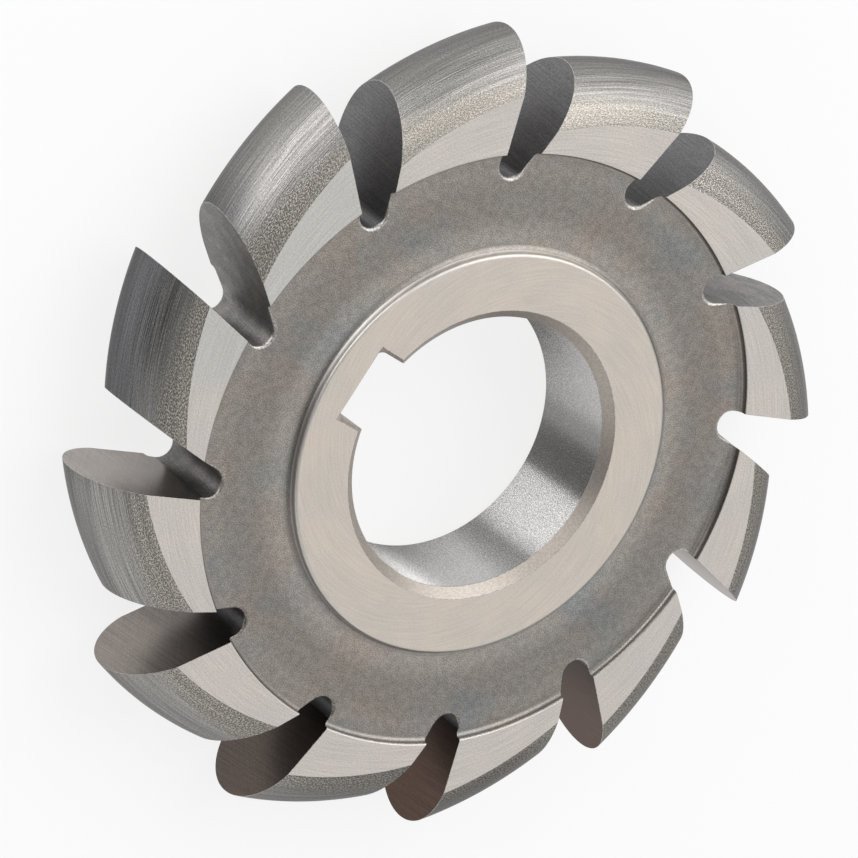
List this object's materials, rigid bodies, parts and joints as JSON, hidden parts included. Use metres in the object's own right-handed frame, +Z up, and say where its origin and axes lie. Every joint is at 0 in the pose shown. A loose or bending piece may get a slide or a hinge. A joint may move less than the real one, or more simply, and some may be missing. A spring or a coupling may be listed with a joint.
{
  "type": "convex radius cutter",
  "caption": "Disc milling cutter with relieved half-round teeth, straight gullets, a recessed web and a keyed arbor bore; it mills concave round grooves.",
  "frame": {"origin": "centre of the bore in the plane of the lower hub face, on which the cutter lies", "axes": "+Z up along the bore axis, +X from the axis through the middle of the keyway and the tip of one tooth, +Y completes the right-handed frame; the cutting faces look clockwise seen from +Z"},
  "size_m": [0.08, 0.08, 0.012],
  "materials": {
    "tool_steel": "ground satin faces, dark brushed web and gullets"
  },
  "bodies": {
    "root": {"cutter": "tool_steel"}
  },
  "joints": []
}
